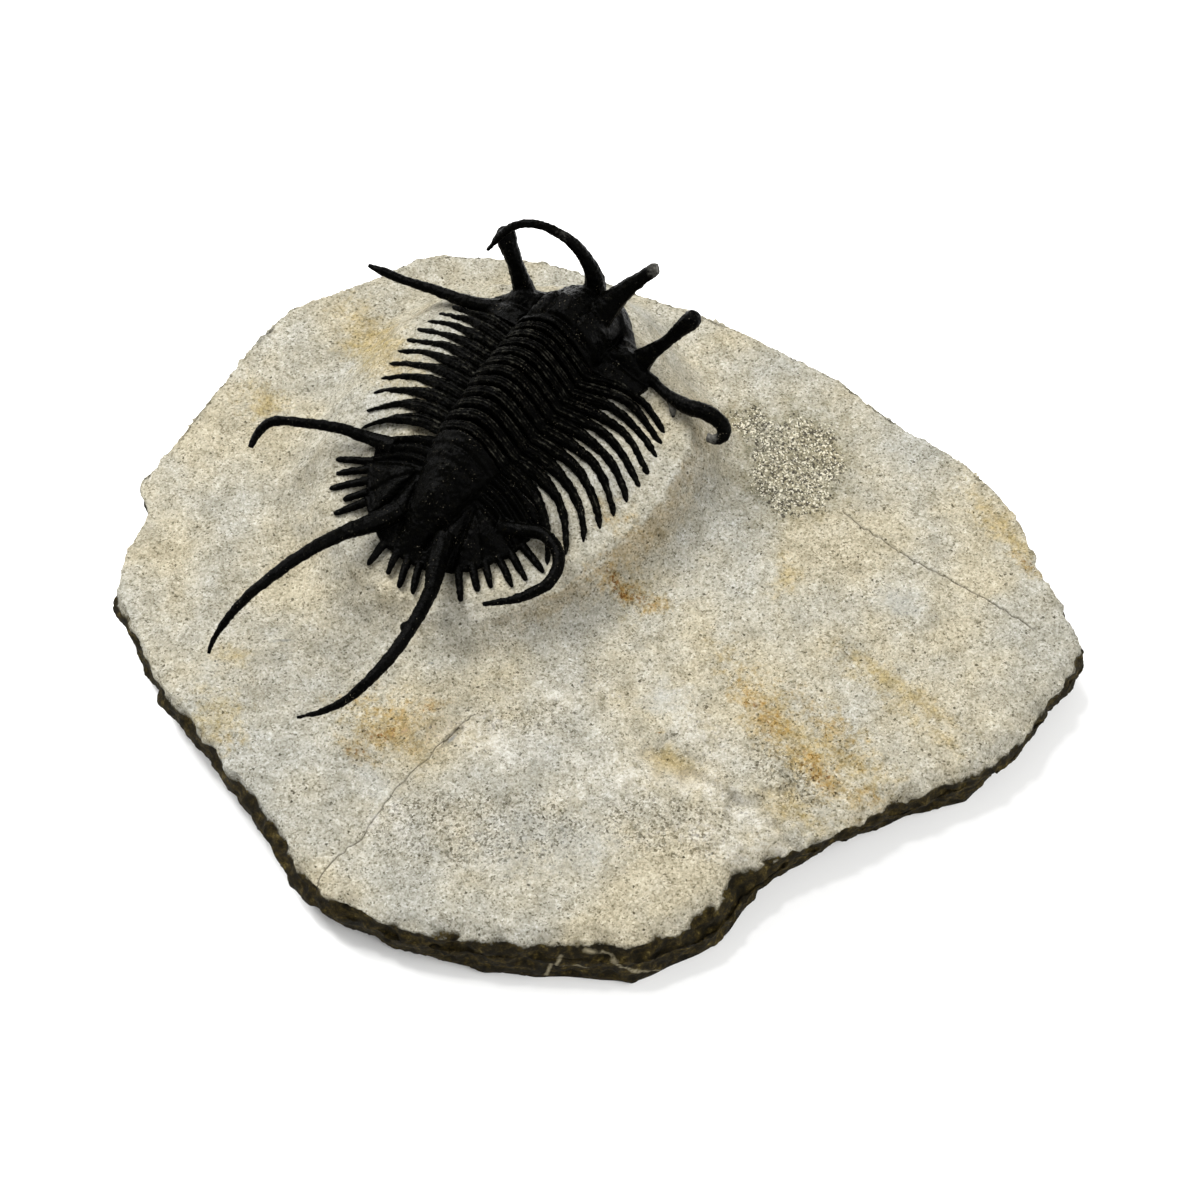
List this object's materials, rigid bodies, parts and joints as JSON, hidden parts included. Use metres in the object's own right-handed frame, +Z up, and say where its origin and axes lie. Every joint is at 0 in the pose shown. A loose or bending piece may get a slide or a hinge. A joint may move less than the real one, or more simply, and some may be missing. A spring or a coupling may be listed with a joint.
{
  "type": "ceratarges trilobite fossil",
  "caption": "Spiny trilobite fossil with horns, stalked eyes and curved tail spines, raised on a mound on a thin irregular limestone slab that lies flat.",
  "frame": {"origin": "middle of the slab's outline, on its flat underside", "axes": "+Z up, +X along the slab's long way, +Y across the slab towards the side that the head is nearer"},
  "size_m": [0.1184, 0.0974, 0.0346],
  "materials": {
    "limestone_matrix": "matte, sandblasted, with a broken brown edge and rust stains",
    "calcite_shell": "black mineralised shell, faintly glossy, with fine grit in its furrows"
  },
  "bodies": {
    "root": {"matrix_slab": "limestone_matrix", "head_shield": "calcite_shell", "thorax_segment_01": "calcite_shell", "thorax_segment_02": "calcite_shell", "thorax_segment_03": "calcite_shell", "thorax_segment_04": "calcite_shell", "thorax_segment_05": "calcite_shell", "thorax_segment_06": "calcite_shell", "thorax_segment_07": "calcite_shell", "thorax_segment_08": "calcite_shell", "thorax_segment_09": "calcite_shell", "thorax_segment_10": "calcite_shell", "thorax_segment_11": "calcite_shell", "tail_shield": "calcite_shell"}
  },
  "joints": []
}
